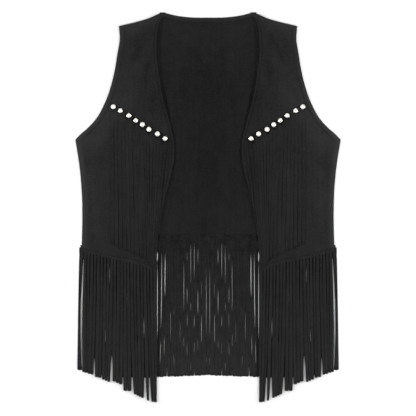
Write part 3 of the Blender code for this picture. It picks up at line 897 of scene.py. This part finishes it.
def back_fringe_height(x, down, share):
    """The strip is lapped over the back's raw lower edge and comes down to the paper below it. The strands
    are drawn lighter towards the tips."""
    over_back = fade(down - back_hem_down(x) - BACK_UNDER_STRIP, BACK_STEP_RUN)
    lighter, over = BACK_ROOT_NAP
    nap = BACK_FRINGE_NAP + lighter * ease(share, over) + BACK_TIP_NAP * share**2
    nap -= EDGE_SHADE * ridge(abs(x) - SHADED_HALF, SHADED_WIDTH)
    return BACK_FRINGE_CLEAR + (CLOTH + BACK_FRINGE_CLEAR) * over_back, nap


back_fringe_sheet = slit_sheet(
    tips=[back_tip_down(strand) for strand in range(BACK_STRANDS)],
    strip_top=back_hem_down,
    strip_depth=BACK_STRIP_DEPTH,
    slit_place=back_slit,
    opening=back_opening,
    height=back_fringe_height,
    lift=LEAST_LIFT,
    relief=0.1,
    middle=BACK_STRANDS // 2,
)
# the same knit, drawn lighter than the panel's, for the strands
lighter_fringe_knit = suede("lighter_microsuede_fringe_back", "#0a0a0a", "#2c2c2c", 0.03, 0.0060)
back_fringe = smooth_shaded(laid_object("back_fringe_cloth", back_fringe_sheet, lighter_fringe_knit))
cloth_wall(back_fringe, STRAND_CLOTH)
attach(back_fringe, "root")
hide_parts("back_hem_fringe")


# The fringe of the fronts. One slit strip for each, napped face up, is sewn inside the hem. Its strands lie
# on those of the back and hang in bunches, which are listed from the front edge outwards.
FRONT_STRANDS = 23
FRONT_STRIP_DEPTH = 0.0060
FRONT_STRIP_TUCK = 0.0040  # how far it goes under the front's turned hem
FRONT_STRIP_SUNK = 0.0007  # its top under the hem's face
FRONT_FRINGE_CLEAR = 0.0026  # over the paper
FRONT_SETTLING = 0.08  # share of the strands over which they come down to that
FRONT_FAN_POWER = 1.4
FRONT_LINE = 0.00034  # width of the dark line where two strands lie side by side
FRONT_FRINGE_NAP = 0.06
LIGHT_TIPS = 0.26  # how much lighter the nap is at the tips of the front strands
HEM_SHADOW_SHADE = 0.30  # painted shadow of the hem's edge, along the top of the strip
HEM_SHADOW_WIDTH = 0.0014
FRONT_ROOT_OVERHANG = 0.0020
FRONT_ROOT_SLIT = 0.0009
FRONT_SHUT_RUN = 0.60
Bunch = namedtuple("Bunch", "strands inner outer inner_down outer_down")
FRONT_BUNCHES = [
    Bunch(3, 0.0868, 0.0960, 0.6625, 0.6615),
    Bunch(1, 0.1003, 0.1036, 0.6595, 0.6595),
    Bunch(4, 0.1093, 0.1258, 0.6560, 0.6480),
    Bunch(2, 0.1303, 0.1436, 0.6435, 0.6430),
    Bunch(3, 0.1456, 0.1622, 0.6330, 0.6260),
    Bunch(3, 0.1664, 0.1798, 0.6290, 0.6230),
    Bunch(2, 0.1812, 0.1923, 0.6215, 0.6190),
    Bunch(4, 0.1950, 0.2124, 0.6160, 0.6080),
    Bunch(1, 0.2150, 0.2210, 0.6030, 0.6030),
]
BUNCH_OPEN_POWER = 4.0  # the gap between two bunches opens near the tips
FRONT_OPENINGS = {
    4: ((0.5200, 0.5560, 0.0021),),
    6: ((0.5480, 0.5620, 0.0016),),
    9: ((0.4780, 0.4960, 0.0010),),
    13: ((0.5860, 0.6600, 0.0036),),
    14: ((0.4300, 0.4600, 0.0016),),
    15: ((0.5370, 0.5620, 0.0014),),
    18: ((0.5850, 0.6500, 0.0030),),
    22: ((0.4100, 0.6060, 0.0030),),
}


def tip_edges(bunches):
    """Where each strand's two edges end, from the inner strand outwards, and how far down."""
    edges = []
    for bunch in bunches:
        wide = (bunch.outer - bunch.inner) / bunch.strands
        for i in range(bunch.strands):
            reach = (i + 0.5) / bunch.strands
            down = bunch.inner_down + reach * (bunch.outer_down - bunch.inner_down)
            edges.append((bunch.inner + i * wide, bunch.inner + (i + 1) * wide, down))
    return edges


def tip_slit(edges, index):
    """Middle and width of the gap before a strand, at the tips."""
    before = edges[max(index - 1, 0)][1 if index else 0]
    after = edges[min(index, len(edges) - 1)][0 if index < len(edges) else 1]
    return (before + after) / 2, after - before


FRONT_TIP_EDGES = tip_edges(FRONT_BUNCHES)
line_luck = random.Random(9)
FRONT_LINES = [(line_luck.uniform(0, 6.3), line_luck.uniform(4, 11)) for _ in range(FRONT_STRANDS + 1)]


def front_slit(index, share):
    if index == FRONT_STRANDS - 1:
        return read(BOWED_SLIT, share)
    root_in, root_out = FRONT_HEM[0].half, FRONT_HEM[-1].half + FRONT_ROOT_OVERHANG
    root = root_in + (root_out - root_in) * index / FRONT_STRANDS
    tip = tip_slit(FRONT_TIP_EDGES, index)[0]
    loose = 4 * share * (1 - share) * min(index, FRONT_STRANDS - index, 3) / 3
    return root + (tip - root) * share**FRONT_FAN_POWER + FRONT_SWAY * sway(index) * loose


def front_opening(index, share, down):
    """A slit of the front fringe is open at its root, shows as a dark line of changing width below that,
    and stands open where two bunches part."""
    if index in (0, FRONT_STRANDS):
        return 0.0
    phase, changes = FRONT_LINES[index]
    line = FRONT_ROOT_SLIT - (FRONT_ROOT_SLIT + OVERLAP) * ease(share, FRONT_SHUT_RUN)
    line += FRONT_LINE * (1 + math.sin(phase + changes * share))
    bunched = tip_slit(FRONT_TIP_EDGES, index)[1] * share**BUNCH_OPEN_POWER
    return max(line + bunched, opened(FRONT_OPENINGS, index, down))


def front_hem_down(half):
    return read(FRONT_HEM_SAMPLES, half)


def front_fringe_height(x, down, share):
    """The strip leaves from under the hem, with the hem edge's shadow painted along it, and its strands
    come down onto those of the back."""
    hem = front_hem_down(x)
    hung = front_under(x, min(down, hem - 0.001)) + FRONT_WALL - FRONT_STRIP_SUNK - STRAND_CLOTH
    settled = ease(share, FRONT_SETTLING)
    nap = FRONT_FRINGE_NAP + LIGHT_TIPS * (0.5 * share + 0.8 * share**5)
    nap -= HEM_SHADOW_SHADE * ridge(down - hem, HEM_SHADOW_WIDTH)
    return (1 - settled) * hung + settled * FRONT_FRINGE_CLEAR, nap


front_fringe_sheet = slit_sheet(
    tips=[down for inner, outer, down in FRONT_TIP_EDGES],
    strip_top=lambda x: front_hem_down(x) - FRONT_STRIP_TUCK,
    strip_depth=FRONT_STRIP_TUCK + FRONT_STRIP_DEPTH,
    slit_place=front_slit,
    opening=front_opening,
    height=front_fringe_height,
    lift=UPPER_LIFT,
    relief=0.6,
)
front_fringes = both_sides("front_fringe_cloth", front_fringe_sheet, napped_face)
for side, front_fringe in front_fringes.items():
    cloth_wall(front_fringe, STRAND_CLOTH)
    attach(front_fringe, "root")
    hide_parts(f"front_hem_fringe_{side}")


# The chest fringe. On each front a strip is stitched on a slant from the armhole to the free edge and
# carries the studs. It is cut into long strands that hang over the front and just reach its hem.
CHEST_STRANDS = 17
CHEST_STRIP = edge_points((0.0620, 0.2213), (0.1658, 0.1582))  # its middle line, from the free edge
CHEST_STRIP_ABOVE = 0.0055
CHEST_STRIP_BELOW = 0.0065
CHEST_CLEAR = 0.00015
CHEST_INSET = 0.0006  # from the front's free edge
CHEST_CROWDED = 0.0017  # least distance of two slits there, where the strands lie over each other
CHEST_STRIP_SEAT = 0.0013  # the strip's top over the front's face, at the studs
CHEST_SEAT_WIDTH = 0.0042
CHEST_FAN_POWER = 0.9
CHEST_LINE_WIDTH = (-0.0005, 0.0006)  # least and most of its slits, where below zero is an overlap
CHEST_BUNCHES = [
    Bunch(8, 0.0880, 0.1030, 0.4440, 0.4215),
    Bunch(1, 0.1037, 0.1092, 0.4200, 0.4200),
    Bunch(1, 0.1103, 0.1157, 0.4170, 0.4170),
    Bunch(2, 0.1166, 0.1304, 0.4140, 0.4085),
    Bunch(1, 0.1312, 0.1366, 0.4060, 0.4060),
    Bunch(1, 0.1374, 0.1436, 0.4045, 0.4045),
    Bunch(1, 0.1448, 0.1512, 0.4010, 0.4010),
    Bunch(1, 0.1525, 0.1582, 0.3975, 0.3975),
    Bunch(1, 0.1594, 0.1655, 0.3940, 0.3940),
]
CHEST_LINES = [line_luck.uniform(*CHEST_LINE_WIDTH) for _ in range(CHEST_STRANDS + 1)]
# slits of the chest fringe that show as darker lines
CHEST_OPENINGS = {
    1: ((0.2300, 0.3700, 0.0008),),
    5: ((0.2300, 0.3400, 0.0007),),
    6: ((0.2250, 0.3280, 0.0010),),
    8: ((0.2400, 0.2900, 0.0008),),
    11: ((0.2300, 0.3450, 0.0011),),
    12: ((0.2300, 0.3100, 0.0005),),
    14: ((0.2200, 0.3000, 0.0005),),
    16: ((0.1900, 0.3100, 0.0006),),
}

# the studs are set through the strip, which dips under and around each rim; a ring of painted shadow
# darkens the cloth there
STUD_RADIUS = 0.0041
DENT = 0.0003
DENT_FROM_RIM = 0.0006
DENT_WIDTH = 0.0016
STUD_RING_SHADOW = 0.9
# the strands that crowd beside the free edge are darker, out from the centre line and down
CROWDED_SHADE = 0.17
CROWDED_OUT = (0.072, 0.025)
CROWDED_FROM = (0.180, 0.030)
CROWDED_TO = (0.280, 0.050)
# the studs are set by hand, a little off the even row of the solids
STUD_SHIFTS = edge_points(
    (0.0001, -0.0008), (0.0007, -0.0018), (-0.0011, -0.0010), (-0.0005, -0.0006), (0.0010, -0.0011),
    (0.0025, -0.0007), (0.0007, -0.0007), (0.0006, -0.0003),
)
stud_places = []
for number, shift in enumerate(STUD_SHIFTS, 1):
    low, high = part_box(f"stud_left_{number}")
    half, down = (low[0] + high[0]) / 2, LENGTH / 2 - (low[1] + high[1]) / 2
    stud_places.append(Point(half + shift.half, down + shift.down))

chest_line = smooth_curve(CHEST_STRIP)
CHEST_TIP_EDGES = tip_edges(CHEST_BUNCHES)


def front_face(half, down):
    """Height of a front's face, with its doubled edges."""
    from_hem = front_hem_down(half) - down
    return front_middle(half, down, *front_distances(half, down), from_hem)[0] + CLOTH / 2


def chest_slit(index, share):
    """x of a slit, or of the fringe's inner edge, which follows the free edge down."""
    root, root_down = chest_line(index / CHEST_STRANDS)
    tip = tip_slit(CHEST_TIP_EDGES, index)[0]
    strand = min(index, CHEST_STRANDS - 1)
    down = root_down + share * (CHEST_TIP_EDGES[strand][2] - root_down)
    x = root + (tip - root) * share**CHEST_FAN_POWER
    x += CHEST_SWAY * sway(index + 2) * 4 * share * (1 - share)
    return max(x, half_at(FREE_SAMPLES, down) + CHEST_INSET + CHEST_CROWDED * index)


def chest_opening(index, share, down):
    if index in (0, CHEST_STRANDS):
        return 0.0
    line = CHEST_LINES[index] * math.sin(math.pi * min(share * 1.1, 1)) + SHUT
    bunched = tip_slit(CHEST_TIP_EDGES, index)[1] * share**BUNCH_OPEN_POWER
    return max(line + bunched, opened(CHEST_OPENINGS, index, down))


def chest_top_down(half):
    inner, outer = CHEST_STRIP
    reach = (half - inner.half) / (outer.half - inner.half)
    return inner.down + reach * (outer.down - inner.down) - CHEST_STRIP_ABOVE


def chest_height(x, down, share):
    """The strip stands up where the studs are, and its upper edge and its strands lie on the front."""
    from_studs = down - chest_top_down(x) - CHEST_STRIP_ABOVE
    seat = (CHEST_STRIP_SEAT - STRAND_CLOTH - CHEST_CLEAR) * ridge(from_studs, CHEST_SEAT_WIDTH)
    inside_rims = [STUD_RADIUS + DENT_FROM_RIM - math.hypot(x - s.half, down - s.down) for s in stud_places]
    dent = max(ridge(inside, DENT_WIDTH) for inside in inside_rims)
    (out, out_run), (start, start_run), (end, end_run) = CROWDED_OUT, CROWDED_FROM, CROWDED_TO
    crowded = fade(x - out, out_run) * ease(down - start, start_run) * fade(down - end, end_run)
    # painted light towards the side, as on the front
    nap = read(PAINTED_LIGHT_BY_SIDE, down) * within(BY_SIDE, half_at(OUTER_SAMPLES, down) - x)
    # painted shadow in a ring round each stud; the crowded strands are darker
    nap -= STUD_RING_SHADOW * dent + CROWDED_SHADE * crowded
    hem = front_hem_down(max(x, FRONT_HEM[0].half))
    return front_face(x, min(down, hem)) + CHEST_CLEAR + seat - DENT * dent, nap


chest_sheet = slit_sheet(
    tips=[down for inner, outer, down in CHEST_TIP_EDGES],
    strip_top=chest_top_down,
    strip_depth=CHEST_STRIP_ABOVE + CHEST_STRIP_BELOW,
    slit_place=chest_slit,
    opening=chest_opening,
    height=chest_height,
    lift=LEAST_LIFT,
    relief=0.3,
)
chest_fringes = both_sides("chest_fringe_cloth", chest_sheet, napped_face)
for side, chest_fringe in chest_fringes.items():
    cloth_wall(chest_fringe, STRAND_CLOTH)
    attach(chest_fringe, "root")
    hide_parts(f"chest_fringe_{side}")


# The studs. Eight domes on each side are pressed from steel sheet, nickel plated and polished, with a
# narrow rolled rim. They are set through the chest strip on prongs, so none sits quite square.
DOME_SLOPE = 53.0  # degrees, where the dome meets the rim
STUD_SUNK = 0.0004  # its rim presses into the strip
STUD_RIM = 0.00035  # width of the rolled rim
STUD_SEGMENTS = 32
DOME_STEPS = 8
STUD_TILT = 6.0  # degrees, at most
SLOPE_REACH = 0.004  # the cloth's slope under a stud is taken over this much to each side


def stud_mesh(foot, normal, worn):
    """A dome that is turned about its axis, with its foot at a place and square to a normal."""
    bm = bmesh.new()
    dome_radius = STUD_RADIUS - STUD_RIM
    outline = []
    dome_slope = math.radians(DOME_SLOPE)
    sphere = dome_radius / math.sin(dome_slope)
    for i in range(DOME_STEPS + 1):
        angle = dome_slope * i / DOME_STEPS
        rise = sphere * (math.cos(angle) - math.cos(dome_slope))
        outline.append((sphere * math.sin(angle), STUD_RIM + rise))
    for degrees in (120, 75, 30, -15, -60):
        angle = math.radians(degrees)
        outline.append((STUD_RADIUS - STUD_RIM / 2 * (1 - math.cos(angle)), STUD_RIM / 2 * math.sin(angle)))
    outline += [(STUD_RADIUS - STUD_RIM / 2, -STUD_SUNK), (0.0, -STUD_SUNK)]
    points = [bm.verts.new((x, 0, z)) for x, z in outline]
    edges = [bm.edges.new(pair) for pair in zip(points, points[1:])]
    bmesh.ops.spin(
        bm,
        geom=points + edges,
        cent=(0, 0, 0),
        axis=(0, 0, 1),
        angle=2 * math.pi,
        steps=STUD_SEGMENTS,
        use_merge=True,
    )
    bmesh.ops.remove_doubles(bm, verts=bm.verts, dist=0.00001)
    bmesh.ops.recalc_face_normals(bm, faces=bm.faces)
    worn_layer = bm.verts.layers.float.new("worn")
    for v in bm.verts:
        v[worn_layer] = worn
    turn = normal.to_track_quat("Z", "Y").to_matrix().to_4x4()
    bmesh.ops.transform(bm, matrix=Matrix.Translation(foot) @ turn, verts=bm.verts)
    return bm


# polished nickel plate: bright, faintly warm, with a light haze of fine scratches. They are drawn 0.4 mm
# wide, because real ones of a few hundredths wouldn't show
nickel, nickel_tree, nickel_shader = new_material(
    "polished_nickel_plate", Base_Color=linear("#e9e6e0"), Metallic=1.0, Roughness=0.12
)
nickel_where = add(nickel_tree, "ShaderNodeTexCoord").outputs["Object"]
fine_lines = {"Vector": nickel_where, "Scale": 1 / 0.0004, "Detail": 2.0}
scratches = add(nickel_tree, "ShaderNodeTexNoise", fine_lines)
haze_range = {"Value": scratches.outputs["Fac"], "To Min": 0.06, "To Max": 0.20}
haze = add(nickel_tree, "ShaderNodeMapRange", haze_range)
worn = add(nickel_tree, "ShaderNodeAttribute", attribute_name="worn")
dulling = {0: worn.outputs["Fac"], 1: 0.45, 2: haze.outputs["Result"]}
dulled = add(nickel_tree, "ShaderNodeMath", dulling, operation="MULTIPLY_ADD")
nickel_tree.links.new(dulled.outputs[0], nickel_shader.inputs["Roughness"])
STUD_WEAR = (0.7, 0.0, 0.15, 0.0, 0.7, 1.0, 1.0, 0.0)  # the more, the duller: some mirror no more

stud_luck = random.Random(3)
stud_pieces = {"left": [], "right": []}
for number, (half, down) in enumerate(stud_places, 1):
    tilt_x, tilt_y = (math.tan(math.radians(stud_luck.uniform(-STUD_TILT, STUD_TILT))) for _ in range(2))
    rise_x = front_under(half + SLOPE_REACH, down) - front_under(half - SLOPE_REACH, down)
    rise_y = front_under(half, down - SLOPE_REACH) - front_under(half, down + SLOPE_REACH)
    lean_x, lean_y = tilt_x - rise_x / (2 * SLOPE_REACH), tilt_y - rise_y / (2 * SLOPE_REACH)
    for side, sign in (("left", 1), ("right", -1)):
        node = f"stud_{side}_{number}"
        foot = on_vest(sign * half, down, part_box(node)[0][2])
        normal = Vector((sign * lean_x, lean_y, 1)).normalized()
        stud = laid_object(f"dome_{node}", stud_mesh(foot, normal, STUD_WEAR[number - 1]), nickel)
        smooth_shaded(stud, 40)
        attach(stud, "root")
        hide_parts(node)
        stud_pieces[side].append(stud)


# The stitching. Black polyester thread, dyed to match, in rows of 3 mm stitches: along the turned edges,
# above the hems and along the top of the chest strips. Each stitch is a short bead of thread that pulls
# into the cloth at both ends.
STITCH_PITCH = 0.0030
STITCH_LENGTH = 0.0024
THREAD = 0.00055
HEM_STITCH = 0.0020
STITCH_SAMPLES = 160
STITCH_STRETCH = 24  # stitches that are made in one go
THREAD_RAISED = THREAD / 4  # middle of the thread over the cloth
CHEST_STITCH = 0.0015  # from the top of the chest strip
BACK_STITCHES = (0.0015, 0.0085)  # from the top of the back's strip
NECK_STITCH_SHARE = 0.96  # of the neck edge, up to the fronts

stretch_mesh = bpy.data.meshes.new("stretch_of_stitches")

# spun polyester thread: a little glossier than the cloth, with a twist as long as the thread is thick
thread, thread_tree, thread_shader = new_material(
    "black_spun_thread", Roughness=0.7, Specular_IOR_Level=0.2
)
thread_where = add(thread_tree, "ShaderNodeTexCoord").outputs["Object"]
twist = add(thread_tree, "ShaderNodeTexNoise", {"Vector": thread_where, "Scale": 1 / THREAD})
thread_tint = add(
    thread_tree,
    "ShaderNodeMix",
    {"Factor": twist.outputs["Fac"], 6: linear("#060606"), 7: linear("#121212")},
    data_type="RGBA",
)
thread_tree.links.new(thread_tint.outputs[2], thread_shader.inputs["Base Color"])


def stitch_row(seam, place):
    """Stitches along place, which gives a point of the row at each share of its length."""
    points = [place(i / STITCH_SAMPLES) for i in range(STITCH_SAMPLES + 1)]
    run = [0.0]
    for before, after in zip(points, points[1:]):
        run.append(run[-1] + (after - before).length)
    bead = Matrix.Diagonal((STITCH_LENGTH / 2, THREAD / 2, THREAD / 2, 1))
    count = int(run[-1] / STITCH_PITCH)
    for first in range(0, count, STITCH_STRETCH):
        stretch = bmesh.new()
        for i in range(first, min(first + STITCH_STRETCH, count)):
            at = (i + 0.5) * STITCH_PITCH
            k = bisect_right(run, at) - 1
            middle = points[k].lerp(points[k + 1], (at - run[k]) / (run[k + 1] - run[k]))
            turn = (points[k + 1] - points[k]).to_track_quat("X", "Z").to_matrix().to_4x4()
            matrix = Matrix.Translation(middle) @ turn @ bead
            bmesh.ops.create_uvsphere(stretch, u_segments=6, v_segments=4, radius=1, matrix=matrix)
        stretch.to_mesh(stretch_mesh)
        stretch.free()
        seam.from_mesh(stretch_mesh)


def on_front(u, w):
    half, down = front_place(u, w)
    return on_vest(half, down, front_face(half, down) + THREAD_RAISED)


def inside_free_edge(share):
    return on_front(TOPSTITCH / (outer_edge(share) - front_edge(share)).length, share)


def inside_armhole(share):
    w = share * UNDERARM
    along = outer_edge(w + 0.004) - outer_edge(max(w - 0.004, 0.0))
    square_width = abs(along.normalized().cross(outer_edge(w) - front_edge(w)))
    return on_front(1 - ARMHOLE_STITCH / square_width, w)


def above_hem(share):
    return on_front(share, 1 - HEM_STITCH / (front_hem(share) - shoulder(share)).length)


def on_chest_strip(share):
    x, down = chest_line(share)
    down += CHEST_STITCH - CHEST_STRIP_ABOVE
    return on_vest(x, down, chest_height(x, down, 0)[0] + STRAND_CLOTH + THREAD_RAISED)


def on_back_strip(x_share, below):
    x = (2 * x_share - 1) * BACK_ROOT_HALF
    down = back_hem_down(x) + below
    return on_vest(x, down, back_fringe_height(x, down, 0)[0] + STRAND_CLOTH + THREAD_RAISED)


def on_neck(x_share):
    x = 2 * x_share - 1
    half, down = half_back(abs(x) * NECK_SHARE * NECK_STITCH_SHARE, TOPSTITCH / BACK_HEM[0].down)
    return on_vest(math.copysign(half, x), down, BACK_BEDDED + 2 * FOLD_RADIUS + CLOTH / 2 + THREAD_RAISED)


front_stitches = bmesh.new()
for row in (inside_free_edge, inside_armhole, above_hem, on_chest_strip):
    stitch_row(front_stitches, row)
seam_threads = both_sides("front_stitching", front_stitches, thread)
back_stitches = bmesh.new()
stitch_row(back_stitches, on_neck)
for below in BACK_STITCHES:
    stitch_row(back_stitches, lambda share: on_back_strip(share, below))
seam_threads["back"] = smooth_shaded(laid_object("back_stitching", back_stitches, thread))
for stitching in seam_threads.values():
    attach(stitching, "root")


# The cut. Each panel was one flat piece of cloth, with 6 mm turned in at its turned edges. The area
# inside the outline of a front and of half the back is worked out here.
def plan_area(edges):
    """Area inside edges that follow each other round."""
    points = np.array([edge(t) for edge in edges for t in EDGE_SAMPLES[:-1]])
    x, y = points[:, 0], points[:, 1]
    return abs(float(np.dot(x, np.roll(y, -1)) - np.dot(y, np.roll(x, -1)))) / 2


front_area = plan_area([shoulder, outer_edge, lambda t: front_hem(1 - t), lambda t: front_edge(1 - t)])
back_half_area = plan_area([back_top, outer_edge, lambda t: back_hem(1 - t), lambda t: centre_line(1 - t)])
